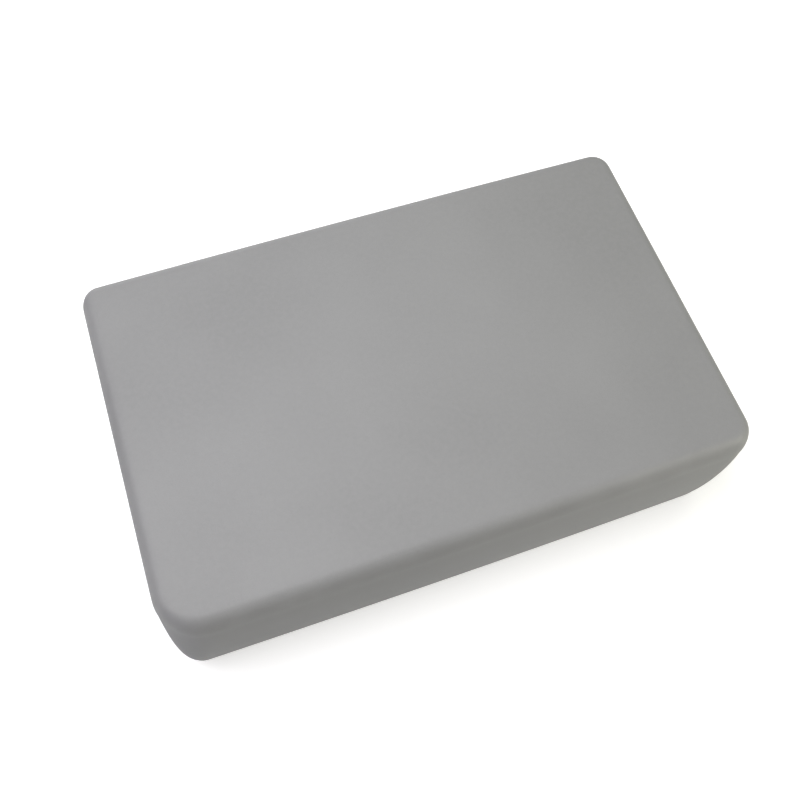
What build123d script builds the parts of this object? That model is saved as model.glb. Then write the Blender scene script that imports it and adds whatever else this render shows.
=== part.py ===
from build123d import *
import os

# A rectangular bolster pillow for a massage or spa table: a foam block in wadding and a knitted liner,
# inside a zipped cover of coated fabric. Millimetres, +Z up, the zip in the back wall (+Y), and the
# origin at the middle of the underside.

# The whole pillow.
LENGTH = 450.0  # X
WIDTH = 284.0  # Y
HEIGHT = 130.0  # Z
CORNER_RADIUS = 24.0  # the four upright corners, seen from above
EDGE_RADIUS = 18.0  # round the top and round the bottom
FRONT_BOW = 1.5  # how far the front wall swells at the middle of its length

# The layers, from the outside in.
COVER_THICKNESS = 1.2
LINER_INSET = 1.9  # from the pillow's outside to the liner's
LINER_THICKNESS = 0.5
WADDING_INSET = 2.6
FOAM_GAP = 0.2  # between the wadding and the foam, all round
FOAM_LENGTH = 432.0
FOAM_WIDTH = 262.0
FOAM_CENTRE_Y = -2.0  # the wadding's two ends overlap behind the foam, so it lies nearer the front
FOAM_CORNER_RADIUS = 16.0
FOAM_EDGE_RADIUS = 10.0
FOAM_BOTTOM = 8.0
CORE_HEIGHT = 80.0
COMFORT_HEIGHT = 34.0

# The seam of the base panel, on the underside.
SEAM_INSET = 26.0  # from the pillow's outside to the seam
SEAM_CORNER_RADIUS = 14.0
BASE_THREAD_OFFSET = 3.5  # from the seam to the row of stitches on either side of it
BASE_THREAD_WIDTH = 0.8
BASE_THREAD_HEIGHT = 0.45
BASE_THREAD_LIFT = 0.05  # the thread lies this far inside its groove
SEAM_TAPE_WIDTH = 14.0
SEAM_TAPE_THICKNESS = 0.5

# The zip's place: a valley along the back wall, with a window in its floor.
ZIP_HEIGHT = 42.0  # the zip's centre line, above the underside
BACK = WIDTH / 2
VALLEY_DEPTH = 6.0
VALLEY_FLOOR_HALF_HEIGHT = 8.0
VALLEY_FLOOR_HALF_LENGTH = 191.0
VALLEY_FLOOR_RADIUS = 6.0
VALLEY_SLOPE = 45.0  # degrees
WINDOW_HALF_LENGTH = 181.0
WINDOW_HALF_HEIGHT = 5.4
WINDOW_CORNER_RADIUS = 2.0
WINDOW_THREAD_OFFSET = 1.3  # from the window's edge to the middle of the stitching
WINDOW_THREAD_WIDTH = 0.8
THREAD_SUNK = 0.3  # how far the window's thread is pulled into the cover
THREAD_PROUD = 0.3  # how far it stands out of it
BAR_TACK_LENGTH = 14.0
BAR_TACK_WIDTH = 1.8
BAR_TACK_CENTRE_X = 185.2
BAR_TACK_PROUD = 0.5

# A 35 cm zip with a 6 mm coil chain.
CHAIN_HALF_LENGTH = 175.0  # from the middle to the outer end of either stop
CHAIN_GAP_HALF = 0.8  # half the gap between the two coils, where the slider's post runs
COIL_WIDTH = 2.3
COIL_HEIGHT = 2.2
COIL_ROUND = 0.9
TOP_STOP_LENGTH = 2.6
BOTTOM_STOP_LENGTH = 3.2
STOP_REACH = 3.4  # from the zip's centre line to a stop's outer side
STOP_HEIGHT = 2.6
STOP_LIP = 0.6
TAPE_HALF_LENGTH = 188.0
TAPE_OUTER_EDGE = 15.0  # from the zip's centre line
TAPE_THICKNESS = 0.6

# The slider and its pull.
SLIDER_X = 165.0  # at rest, with the zip closed
SLIDER_HALF_LENGTH = 7.0
SLIDER_TAIL_HALF_WIDTH = 4.2
SLIDER_SHOULDER_HALF_WIDTH = 4.8
WING_THICKNESS = 1.1
RUNNING_GAP = 0.3  # between the slider and the chain or the tapes
FLANGE_THICKNESS = 0.8
POST_LENGTH = 3.0
POST_CENTRE_X = 4.0  # from the slider's middle, at the shoulder
POST_HALF_WIDTH = 0.5
BRIDGE_HALF_LENGTH = 3.6
BRIDGE_LEG = 1.0
BRIDGE_HEIGHT = 3.0
BRIDGE_ROOF = 0.7
BRIDGE_HALF_WIDTH = 1.1
PULL_AXIS_HEIGHT = 1.4  # the crossbar's axis, above the slider's outer face
PULL_LENGTH = 24.0
PULL_HALF_WIDTH = 3.5
PULL_THICKNESS = 1.2
PULL_BAR_RADIUS = 0.7
PULL_ARM_INNER = 1.5  # from the middle to an arm's inner side
PULL_ARM_END = 0.8  # how far the arms reach past the crossbar's axis
PULL_EYE_LENGTH = 5.0
PULL_HOLE_LENGTH = 7.0
PULL_HOLE_WIDTH = 2.6
PULL_HOLE_FROM_TIP = 6.5

# What lies behind the zip.
FLAP_HALF_LENGTH = 190.0
FLAP_THICKNESS = 0.6
FLAP_SEWN_EDGE = 9.0  # above the centre line, where the flap leaves the upper tape
FLAP_DROP = 3.0
FLAP_LOWER_EDGE = -16.0
LABEL_LENGTH = 40.0
LABEL_CENTRE_X = -120.0
LABEL_UPPER_EDGE = -9.0  # from the zip's centre line
LABEL_LOWER_EDGE = -18.5
LABEL_THICKNESS = 0.6  # folded double
INNER_VALLEY_HALF_HEIGHT = 16.6  # the filling stands back behind the zip
INNER_VALLEY_HALF_LENGTH = 192.5
INNER_VALLEY_RADIUS = 3.0
INNER_VALLEY_FLOOR = 10.9  # from the back of the pillow to the liner's outside

# Heights of the zip's parts along Y, worked out from the valley's floor.
FLOOR_OUT = BACK - VALLEY_DEPTH
TAPE_OUT = FLOOR_OUT - COVER_THICKNESS
TAPE_IN = TAPE_OUT - TAPE_THICKNESS
COIL_OUT = TAPE_OUT + COIL_HEIGHT
OUTER_WING_IN = COIL_OUT + RUNNING_GAP
OUTER_WING_OUT = OUTER_WING_IN + WING_THICKNESS
INNER_WING_OUT = TAPE_IN - RUNNING_GAP
INNER_WING_IN = INNER_WING_OUT - WING_THICKNESS
PULL_AXIS_Y = OUTER_WING_OUT + PULL_AXIS_HEIGHT
FLAP_OUT = INNER_WING_IN - RUNNING_GAP
COIL_EDGE = CHAIN_GAP_HALF + COIL_WIDTH

OVERCUT = 1.0  # how far a cutting solid stands out of what it cuts


def plan(inset):
    """The pillow's outline from above, moved in by inset: a rectangle with a bowed front."""
    half_x = LENGTH / 2 - inset
    half_y = WIDTH / 2 - inset
    front_y = -(half_y - FRONT_BOW)
    with BuildSketch() as sketch:
        with BuildLine():
            ThreePointArc((-half_x, front_y), (0, -half_y), (half_x, front_y))
            Polyline((half_x, front_y), (half_x, half_y), (-half_x, half_y), (-half_x, front_y))
        make_face()
        fillet(sketch.vertices(), CORNER_RADIUS - inset)
    return sketch.sketch


def rounded_block(inset):
    """The pillow's outer shape, moved in by inset on every side."""
    with BuildPart() as block:
        with Locations((0, 0, inset)):
            add(plan(inset))
        extrude(amount=HEIGHT - 2 * inset)
        rims = block.faces().sort_by(Axis.Z)
        fillet(rims[0].edges() + rims[-1].edges(), EDGE_RADIUS - inset)
    return block.part


def back_plane(y):
    """A plane across the back wall at this Y, centred on the zip and facing into the pillow."""
    return Plane(origin=(0, y, ZIP_HEIGHT), x_dir=(1, 0, 0), z_dir=(0, -1, 0))


def valley(floor_y, half_height, half_length, radius):
    """The hollow along the back wall, open to the outside; the sizes are its floor's."""
    rise = BACK + OVERCUT - floor_y
    with BuildPart() as hollow:
        with BuildSketch(back_plane(BACK + OVERCUT)):
            RectangleRounded(2 * (half_length + rise), 2 * (half_height + rise), radius + rise)
        extrude(amount=rise, taper=VALLEY_SLOPE)
    return hollow.part


def filling_layer(inset, behind):
    """A filling layer's outside: the pillow's shape moved in by inset, and standing back behind the
    zip, where its floor is this far behind the liner's."""
    floor_y = BACK - INNER_VALLEY_FLOOR - behind
    half_height = INNER_VALLEY_HALF_HEIGHT + behind / 2
    hollow = valley(floor_y, half_height, INNER_VALLEY_HALF_LENGTH, INNER_VALLEY_RADIUS)
    return rounded_block(inset) - hollow


def seam_plate(offset, bottom, top):
    """A plate inside the base seam's line, grown by offset, between two heights."""
    length = LENGTH - 2 * SEAM_INSET + 2 * offset
    width = WIDTH - 2 * SEAM_INSET + 2 * offset
    with BuildPart() as plate:
        with BuildSketch(Plane.XY.offset(bottom)):
            RectangleRounded(length, width, SEAM_CORNER_RADIUS + offset)
        extrude(amount=top - bottom)
    return plate.part


def seam_ring(offset, width, bottom, top):
    """A flat ring of this width that follows the base seam, this far outside it."""
    outer = seam_plate(offset + width / 2, bottom, top)
    return outer - seam_plate(offset - width / 2, bottom - OVERCUT, top + OVERCUT)


def stitch_row(side, bottom):
    """A row of stitches beside the base seam; side is 1 on the shell and -1 on the base panel."""
    return seam_ring(side * BASE_THREAD_OFFSET, BASE_THREAD_WIDTH, bottom, BASE_THREAD_HEIGHT)


def window_plate(offset, outer_y, inner_y):
    """A plate the shape of the zip's window, grown by offset, between two places along Y."""
    with BuildPart() as plate:
        with BuildSketch(back_plane(outer_y)):
            length = 2 * (WINDOW_HALF_LENGTH + offset)
            height = 2 * (WINDOW_HALF_HEIGHT + offset)
            RectangleRounded(length, height, WINDOW_CORNER_RADIUS + offset)
        extrude(amount=outer_y - inner_y)
    return plate.part


def window_ring(outer_y, inner_y):
    """The line of topstitching round the zip's window."""
    half = WINDOW_THREAD_WIDTH / 2
    outer = window_plate(WINDOW_THREAD_OFFSET + half, outer_y, inner_y)
    hole = window_plate(WINDOW_THREAD_OFFSET - half, outer_y + OVERCUT, inner_y - OVERCUT)
    return outer - hole


def bar(x, y, z):
    """A box from three pairs of limits; z is counted from the zip's centre line."""
    size = (x[1] - x[0], y[1] - y[0], z[1] - z[0])
    middle = (sum(x) / 2, sum(y) / 2, ZIP_HEIGHT + sum(z) / 2)
    return Pos(*middle) * Box(*size)


def bar_tacks(outer_y):
    """Two upright bars of dense stitching, one past each end of the window."""
    half_width = BAR_TACK_WIDTH / 2
    half_length = BAR_TACK_LENGTH / 2
    tacks = []
    for side in (-1, 1):
        middle = side * BAR_TACK_CENTRE_X
        across = (middle - half_width, middle + half_width)
        tacks.append(bar(across, (FLOOR_OUT - THREAD_SUNK, outer_y), (-half_length, half_length)))
    return tacks


def cover_shell():
    """The skin: top, walls and the margin turned under, open where the base panel and the zip go."""
    inner_floor = FLOOR_OUT - COVER_THICKNESS
    # A wall of even thickness on the 45 degree slopes needs this much more at the inner floor's edge.
    slope_growth = 0.5
    half_height = VALLEY_FLOOR_HALF_HEIGHT
    half_length = VALLEY_FLOOR_HALF_LENGTH
    outer_valley = valley(FLOOR_OUT, half_height, half_length, VALLEY_FLOOR_RADIUS)
    inner_valley = valley(
        inner_floor,
        half_height + slope_growth,
        half_length + slope_growth,
        VALLEY_FLOOR_RADIUS + slope_growth,
    )
    outside = rounded_block(0) - outer_valley
    inside = rounded_block(COVER_THICKNESS) - inner_valley
    shell = outside - inside
    shell -= seam_plate(0, -OVERCUT, COVER_THICKNESS + OVERCUT)
    shell -= stitch_row(1, -OVERCUT)
    shell -= window_plate(0, FLOOR_OUT + OVERCUT, inner_floor - OVERCUT)
    shell -= window_ring(FLOOR_OUT + OVERCUT, FLOOR_OUT - THREAD_SUNK)
    for tack in bar_tacks(FLOOR_OUT + OVERCUT):
        shell -= tack
    return shell


def base_panel():
    """The underside of the cover, with the groove that its row of stitches pulls in."""
    return seam_plate(0, 0, COVER_THICKNESS) - stitch_row(-1, -OVERCUT)


def base_seam_threads():
    """The two rows of stitches that hold the base seam open over its tape."""
    return Compound([stitch_row(side, BASE_THREAD_LIFT) for side in (-1, 1)])


def base_seam_tape():
    """The tape over the base seam, inside the cover."""
    return seam_ring(0, SEAM_TAPE_WIDTH, COVER_THICKNESS, COVER_THICKNESS + SEAM_TAPE_THICKNESS)


def foam_block(grow, bottom, top):
    """A block cut to the foam's outline, grown by this much, between two heights."""
    with BuildPart() as block:
        with BuildSketch(Plane.XY.offset(bottom)):
            with Locations((0, FOAM_CENTRE_Y)):
                length = FOAM_LENGTH + 2 * grow
                width = FOAM_WIDTH + 2 * grow
                RectangleRounded(length, width, FOAM_CORNER_RADIUS + grow)
        extrude(amount=top - bottom)
    return block.part


def round_rim(block, upper, radius):
    """The block with the edges of its top or its bottom face rounded."""
    faces = block.faces().sort_by(Axis.Z)
    rim = faces[-1] if upper else faces[0]
    return fillet(rim.edges(), radius)


def core_foam():
    """The firm block."""
    block = foam_block(0, FOAM_BOTTOM, FOAM_BOTTOM + CORE_HEIGHT)
    return round_rim(block, False, FOAM_EDGE_RADIUS)


def comfort_foam():
    """The soft layer on top of the firm block."""
    bottom = FOAM_BOTTOM + CORE_HEIGHT
    block = foam_block(0, bottom, bottom + COMFORT_HEIGHT)
    return round_rim(block, True, FOAM_EDGE_RADIUS)


def wadding_wrap():
    """The wadding between the foam and the liner, thin behind the zip."""
    bottom = FOAM_BOTTOM - FOAM_GAP
    top = FOAM_BOTTOM + CORE_HEIGHT + COMFORT_HEIGHT + FOAM_GAP
    room = foam_block(FOAM_GAP, bottom, top)
    room = round_rim(room, False, FOAM_EDGE_RADIUS)
    room = round_rim(room, True, FOAM_EDGE_RADIUS)
    return filling_layer(WADDING_INSET, WADDING_INSET - LINER_INSET) - room


def inner_liner():
    """The knitted sock round the wadding."""
    outside = filling_layer(LINER_INSET, 0)
    return outside - filling_layer(LINER_INSET + LINER_THICKNESS, LINER_THICKNESS)


def zip_tape(side):
    """One of the zip's woven tapes; side is 1 for the upper one and -1 for the lower one."""
    z = sorted((side * CHAIN_GAP_HALF, side * TAPE_OUTER_EDGE))
    return bar((-TAPE_HALF_LENGTH, TAPE_HALF_LENGTH), (TAPE_IN, TAPE_OUT), z)


def zip_coil(side):
    """One of the two coils, as a bar of the coil's outer shape, between the stops."""
    z = sorted((side * CHAIN_GAP_HALF, side * COIL_EDGE))
    x = (-CHAIN_HALF_LENGTH + BOTTOM_STOP_LENGTH, CHAIN_HALF_LENGTH - TOP_STOP_LENGTH)
    coil = bar(x, (TAPE_OUT, COIL_OUT), z)
    outer_edges = coil.edges().filter_by(Axis.X).sort_by(Axis.Y)[-2:]
    return fillet(outer_edges, COIL_ROUND)


def stop_clip(x, z, web):
    """A stop bent round the edge of the tape: a block outside, a lip inside and a web between."""
    clip = bar(x, (TAPE_OUT, TAPE_OUT + STOP_HEIGHT), z)
    clip += bar(x, (TAPE_IN - STOP_LIP, TAPE_IN), z)
    clip += bar(x, (TAPE_IN - STOP_LIP, TAPE_OUT + STOP_HEIGHT), web)
    return clip


def zip_top_stops():
    """The two stops at the closed end, one on each coil's end."""
    web_inner = 0.2
    x = (CHAIN_HALF_LENGTH - TOP_STOP_LENGTH, CHAIN_HALF_LENGTH)
    stops = []
    for side in (-1, 1):
        z = sorted((side * web_inner, side * STOP_REACH))
        web = sorted((side * web_inner, side * CHAIN_GAP_HALF))
        stops.append(stop_clip(x, z, web))
    return Compound(stops)


def zip_bottom_stop():
    """The one stop at the open end, across both coils."""
    x = (-CHAIN_HALF_LENGTH, -CHAIN_HALF_LENGTH + BOTTOM_STOP_LENGTH)
    return stop_clip(x, (-STOP_REACH, STOP_REACH), (-CHAIN_GAP_HALF, CHAIN_GAP_HALF))


def slider_wing(outer_y, inner_y):
    """One of the slider's two plates, wider at the shoulder than at the tail."""
    waist = 1.0  # along X, where the shoulder starts to widen
    nose = 2.2  # how far the shoulder's tip stands out of its sides
    outline = [
        (-SLIDER_HALF_LENGTH, -SLIDER_TAIL_HALF_WIDTH),
        (waist, -SLIDER_TAIL_HALF_WIDTH),
        (SLIDER_HALF_LENGTH - nose, -SLIDER_SHOULDER_HALF_WIDTH),
        (SLIDER_HALF_LENGTH, 0),
        (SLIDER_HALF_LENGTH - nose, SLIDER_SHOULDER_HALF_WIDTH),
        (waist, SLIDER_TAIL_HALF_WIDTH),
        (-SLIDER_HALF_LENGTH, SLIDER_TAIL_HALF_WIDTH),
    ]
    with BuildPart() as wing:
        with BuildSketch(back_plane(outer_y)) as sketch:
            with BuildLine():
                Polyline(outline, close=True)
            make_face()
            fillet(sketch.vertices(), 0.8)
        extrude(amount=outer_y - inner_y)
    return Pos(SLIDER_X, 0, 0) * wing.part


def slider_bridge():
    """The arch on the slider's outer face that the pull's crossbar turns in."""
    foot = 0.2  # how far the arch's legs go down into the outer plate
    span = (SLIDER_X - BRIDGE_HALF_LENGTH, SLIDER_X + BRIDGE_HALF_LENGTH)
    across = (-BRIDGE_HALF_WIDTH, BRIDGE_HALF_WIDTH)
    arch = bar(span, (OUTER_WING_OUT - foot, OUTER_WING_OUT + BRIDGE_HEIGHT), across)
    crown = arch.edges().filter_by(Axis.Z).sort_by(Axis.Y)[-2:]
    arch = fillet(crown, 1.4)
    tunnel = bar(
        (span[0] + BRIDGE_LEG, span[1] - BRIDGE_LEG),
        (OUTER_WING_OUT, OUTER_WING_OUT + BRIDGE_HEIGHT - BRIDGE_ROOF),
        (-BRIDGE_HALF_WIDTH - OVERCUT, BRIDGE_HALF_WIDTH + OVERCUT),
    )
    roof = tunnel.edges().filter_by(Axis.Z).sort_by(Axis.Y)[-2:]
    return arch - fillet(roof, 0.8)


def zip_slider():
    """The die-cast slider: two plates, the post between them, side flanges and the bridge."""
    body = slider_wing(OUTER_WING_OUT, OUTER_WING_IN) + slider_wing(INNER_WING_OUT, INNER_WING_IN)
    post_x = SLIDER_X + POST_CENTRE_X
    body += bar(
        (post_x - POST_LENGTH / 2, post_x + POST_LENGTH / 2),
        (INNER_WING_OUT, OUTER_WING_IN),
        (-POST_HALF_WIDTH, POST_HALF_WIDTH),
    )
    flange_start = COIL_EDGE + RUNNING_GAP
    flange_x = (SLIDER_X - SLIDER_HALF_LENGTH + 0.8, SLIDER_X + 2.0)
    for side in (-1, 1):
        z = sorted((side * flange_start, side * (flange_start + FLANGE_THICKNESS)))
        body += bar(flange_x, (TAPE_OUT + RUNNING_GAP, OUTER_WING_IN), z)
    return body + slider_bridge()


def zip_pull_tab():
    """The pull: a crossbar in the bridge, two arms, and a flat tab that lies along the closed zip."""
    arm_start = SLIDER_X + PULL_ARM_END
    tip = SLIDER_X - PULL_LENGTH
    half = PULL_THICKNESS / 2
    flat = (PULL_AXIS_Y - half, PULL_AXIS_Y + half)
    tab = bar((tip, arm_start), flat, (-PULL_HALF_WIDTH, PULL_HALF_WIDTH))
    tip_edges = tab.edges().filter_by(Axis.Y).sort_by(Axis.X)[:2]
    tab = fillet(tip_edges, 2.6)
    eye_side = (-PULL_ARM_INNER, PULL_ARM_INNER)
    tab -= bar((SLIDER_X - PULL_EYE_LENGTH, arm_start + OVERCUT), flat, eye_side)
    hole_x = tip + PULL_HOLE_FROM_TIP
    with BuildPart() as hole:
        with BuildSketch(back_plane(PULL_AXIS_Y + PULL_THICKNESS)):
            with Locations((hole_x, 0)):
                SlotOverall(PULL_HOLE_LENGTH, PULL_HOLE_WIDTH)
        extrude(amount=2 * PULL_THICKNESS)
    tab -= hole.part
    crossbar = Cylinder(PULL_BAR_RADIUS, 2 * (PULL_ARM_INNER + 0.3))
    return tab + Pos(SLIDER_X, PULL_AXIS_Y, ZIP_HEIGHT) * crossbar


def zip_guard_flap():
    """The flap behind the zip, held by the upper tape and stepped back clear of the slider."""
    fold = FLAP_SEWN_EDGE - FLAP_DROP
    outline = [
        (TAPE_IN, TAPE_OUTER_EDGE),
        (TAPE_IN, FLAP_SEWN_EDGE),
        (FLAP_OUT, fold),
        (FLAP_OUT, FLAP_LOWER_EDGE),
        (FLAP_OUT - FLAP_THICKNESS, FLAP_LOWER_EDGE),
        (FLAP_OUT - FLAP_THICKNESS, fold),
        (TAPE_IN - FLAP_THICKNESS, FLAP_SEWN_EDGE),
        (TAPE_IN - FLAP_THICKNESS, TAPE_OUTER_EDGE),
    ]
    end = Plane(origin=(-FLAP_HALF_LENGTH, 0, ZIP_HEIGHT), x_dir=(0, 1, 0), z_dir=(1, 0, 0))
    with BuildPart() as flap:
        with BuildSketch(end):
            with BuildLine():
                Polyline(outline, close=True)
            make_face()
        extrude(amount=2 * FLAP_HALF_LENGTH)
    return flap.part


def care_label():
    """A blank woven label, folded double and held by the lower tape."""
    half = LABEL_LENGTH / 2
    x = (LABEL_CENTRE_X - half, LABEL_CENTRE_X + half)
    return bar(x, (TAPE_IN - LABEL_THICKNESS, TAPE_IN), (LABEL_LOWER_EDGE, LABEL_UPPER_EDGE))


SUB_PARTS = {
    "cover_shell": cover_shell(),
    "base_panel": base_panel(),
    "base_seam_threads": base_seam_threads(),
    "base_seam_tape": base_seam_tape(),
    "zip_window_thread": window_ring(FLOOR_OUT + THREAD_PROUD, FLOOR_OUT - THREAD_SUNK),
    "zip_bar_tacks": Compound(bar_tacks(FLOOR_OUT + BAR_TACK_PROUD)),
    "zip_tape_upper": zip_tape(1),
    "zip_tape_lower": zip_tape(-1),
    "zip_coil_upper": zip_coil(1),
    "zip_coil_lower": zip_coil(-1),
    "zip_top_stops": zip_top_stops(),
    "zip_bottom_stop": zip_bottom_stop(),
    "zip_slider": zip_slider(),
    "zip_pull_tab": zip_pull_tab(),
    "zip_guard_flap": zip_guard_flap(),
    "care_label": care_label(),
    "inner_liner": inner_liner(),
    "wadding_wrap": wadding_wrap(),
    "comfort_foam": comfort_foam(),
    "core_foam": core_foam(),
}

os.makedirs("parts", exist_ok=True)
for name, shape in SUB_PARTS.items():
    export_step(shape, f"parts/{name}.step")
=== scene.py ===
import math

import bmesh
import bpy
import numpy as np
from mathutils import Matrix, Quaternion, Vector
from mathutils.kdtree import KDTree


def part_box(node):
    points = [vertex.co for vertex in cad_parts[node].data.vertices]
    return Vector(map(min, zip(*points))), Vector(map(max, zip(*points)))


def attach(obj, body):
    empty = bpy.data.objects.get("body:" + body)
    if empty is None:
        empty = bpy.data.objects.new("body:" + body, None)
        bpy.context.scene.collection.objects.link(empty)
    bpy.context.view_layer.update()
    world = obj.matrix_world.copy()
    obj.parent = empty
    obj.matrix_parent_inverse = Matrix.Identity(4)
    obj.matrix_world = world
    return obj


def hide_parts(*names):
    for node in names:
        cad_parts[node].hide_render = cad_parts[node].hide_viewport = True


# The looks of a rectangular bolster pillow: a coated-fabric cover over foam, wadding and a liner, with
# a zip in its back wall. Shapes are worked out in millimetres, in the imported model's frame, and turned
# into metres when a mesh is made.

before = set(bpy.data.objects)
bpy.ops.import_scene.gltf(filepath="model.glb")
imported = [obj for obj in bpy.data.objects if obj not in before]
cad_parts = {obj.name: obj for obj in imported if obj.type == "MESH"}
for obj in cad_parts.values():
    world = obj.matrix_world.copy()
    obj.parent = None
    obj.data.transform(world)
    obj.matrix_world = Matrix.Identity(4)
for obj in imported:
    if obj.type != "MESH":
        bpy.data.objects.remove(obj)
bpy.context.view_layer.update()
MM = 0.001


def box_mm(node):
    """A CAD node's lowest and highest corners, in millimetres."""
    low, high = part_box(node)
    return np.array(low) / MM, np.array(high) / MM


# ---------------------------------------------------------------- sizes

SHELL_LOW, SHELL_HIGH = box_mm("cover_shell")
LENGTH = SHELL_HIGH[0] - SHELL_LOW[0]
WIDTH = SHELL_HIGH[1] - SHELL_LOW[1]
HEIGHT = SHELL_HIGH[2] - SHELL_LOW[2]
BACK = SHELL_HIGH[1]

PANEL_LOW, PANEL_HIGH = box_mm("base_panel")
COVER_THICKNESS = PANEL_HIGH[2] - PANEL_LOW[2]
SEAM_HALF_X = PANEL_HIGH[0]
SEAM_HALF_Y = PANEL_HIGH[1]
SEAM_RADIUS = 14.0

# The skin's own form. Corners are listed back right, back left, front left, front right.
EDGE_REACH = 11.4  # how far the rounding of the top and bottom edges reaches in
EDGE_DROP = 22.3  # and how far it reaches down or up the wall
WALL_SWELL = 2.5  # the walls stand out this much at half height
SIDE_BOW = 1.4  # the long walls stand out this much at half length
TOP_RADII = (20.8, 18.2, 36.2, 23.4)
BOTTOM_RADII = (24.8, 24.8, 16.8, 24.9)
CROWN = 1.2  # how much the top rises towards its middle
SLACK = 0.28  # how far the cover's surface wanders in and out

# The zip, which all hangs on its centre line.
TAPE_LOW, TAPE_HIGH = box_mm("zip_tape_upper")
ZIP_Z = (TAPE_LOW[2] + box_mm("zip_tape_lower")[1][2]) / 2
FLOOR_Y = TAPE_HIGH[1] + COVER_THICKNESS
VALLEY_HALF_X = 191.0
VALLEY_HALF_Z = 8.0
VALLEY_RADIUS = 6.0
VALLEY_FADE = 11.0  # from the valley's flat floor to where the wall is whole again
WINDOW_HALF_X = 181.0
WINDOW_HALF_Z = 5.4
WINDOW_RADIUS = 2.0
WINDOW_STITCH_OFFSET = 1.3  # from the window's edge to its row of stitches

THREAD_RADIUS = 0.33
WINDOW_STITCH_PITCH = 3.2
BASE_STITCH_PITCH = 3.6
BASE_STITCH_OFFSET = 3.5  # from the base seam to either row of stitches
BASE_GROOVE = 0.45
TACK_X = 185.2  # the middle of each bar tack
TACK_PITCH = 0.5

# The straight stretches of the walls, which end where the corners start.
STRAIGHT_HALF_X = 184.0
STRAIGHT_HALF_Y = 101.5
LEAST_RADIUS = 3.0

# The hollow behind the zip in the liner and in the wadding.
HOLLOW_HALF_X = 192.5
HOLLOW_HALF_Z = 16.6
HOLLOW_FADE = 12.0
LINER_BACK = 131.1
WADDING_BACK = 130.4

# The foam, and the gap between it and the wadding round it.
FOAM_BOTTOM = 8.0
FOAM_TOP = 122.0
FOAM_CORNER = 24.0
FOAM_EDGE = 10.0
FOAM_GAP = 0.3

# ---------------------------------------------------------------- meshes


def add_object(name, data):
    made = bpy.data.objects.new(name, data)
    bpy.context.scene.collection.objects.link(made)
    return made


def declared(name, mesh, body, node):
    """A smooth piece that rides on a body and stands in for a CAD node, which it hides."""
    mesh.shade_smooth()
    piece = add_object(name, mesh)
    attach(piece, body)
    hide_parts(node)
    return piece


def add_piece(name, points, faces, slot, node):
    """A piece of the pillow itself, from points in millimetres."""
    mesh = bpy.data.meshes.new(name)
    mesh.from_pydata((np.asarray(points) * MM).tolist(), [], faces)
    mesh.validate()
    return declared(name, mesh, "pillow", node)


def add_modifier(piece, kind, **values):
    modifier = piece.modifiers.new(kind.title(), kind)
    for name, value in values.items():
        setattr(modifier, name, value)
    return modifier


def thicken(piece, thickness):
    """Gives a skin its thickness, on its inner side."""
    add_modifier(piece, "SOLIDIFY", thickness=thickness * MM, offset=-1.0)


def subdivide(piece):
    add_modifier(piece, "SUBSURF", levels=1, render_levels=1)


def smooth_step(value):
    held = np.clip(value, 0.0, 1.0)
    return held * held * (3.0 - 2.0 * held)


def merged(forms):
    """One list of points and one of faces, from several forms."""
    all_points = []
    all_faces = []
    shift = 0
    for points, faces in forms:
        all_points.append(points)
        all_faces.extend(tuple(i + shift for i in face) for face in faces)
        shift += len(points)
    return np.vstack(all_points), all_faces


def raised(outline, z):
    """A flat outline at a height."""
    return np.column_stack([outline, np.full(len(outline), float(z))])


def level(z):
    """The height of a flat cap, for Skin.cap."""
    return lambda x, y: np.full(len(x), float(z))


# ---------------------------------------------------------------- outlines and skins


class Lattice:
    """Where the upright mesh lines stand round a rounded rectangle. Every outline made with one
    lattice has the same number of points, in the same order, so outlines join into a skin."""

    def __init__(self, straight_x, straight_y, corner_steps):
        self.straight_x = np.array(straight_x)
        self.straight_y = np.array(straight_y)
        self.corner_steps = corner_steps
        self.steps_x = len(straight_x) - 1 + corner_steps
        self.steps_y = len(straight_y) - 1 + corner_steps

    def corner(self, half_x, half_y, radius):
        """A corner's points in the positive quarter, from the long side to the short side."""
        limit_x = self.straight_x.max()
        limit_y = self.straight_y.max()
        angles = np.linspace(0.0, math.pi / 2, 33)
        arc_x = half_x - radius + radius * np.sin(angles)
        arc_y = half_y - radius + radius * np.cos(angles)
        path = np.stack([np.r_[limit_x, arc_x, half_x], np.r_[half_y, arc_y, limit_y]], 1)
        runs = np.linalg.norm(np.diff(path, axis=0), axis=1)
        turns = np.r_[0.0, np.full(len(angles) - 1, 1.0 / (len(angles) - 1)), 0.0]
        share = np.r_[0.0, np.cumsum(runs / runs.sum() + turns)]
        wanted = np.linspace(0.0, share[-1], self.corner_steps + 1)
        return np.stack([np.interp(wanted, share, path[:, axis]) for axis in (0, 1)], 1)

    def outline(self, half_x, half_y, radii):
        """The points round a rounded rectangle, anticlockwise from the back right corner's middle."""
        signs = ((1, 1), (-1, 1), (-1, -1), (1, -1))
        corners = [self.corner(half_x, half_y, radius) * sign for radius, sign in zip(radii, signs)]
        back_right, back_left, front_left, front_right = corners
        back_right = back_right[::-1]
        front_left = front_left[::-1]
        middle = self.corner_steps // 2
        along_x = self.straight_x
        along_y = self.straight_y
        back = np.stack([-along_x, np.full(len(along_x), half_y)], 1)
        front = np.stack([along_x, np.full(len(along_x), -half_y)], 1)
        left = np.stack([np.full(len(along_y), -half_x), -along_y], 1)
        right = np.stack([np.full(len(along_y), half_x), along_y], 1)
        return np.vstack([
            back_right[middle:-1], back, back_left[1:-1], left, front_left[1:-1],
            front, front_right[1:-1], right, back_right[1:middle],
        ])


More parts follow.
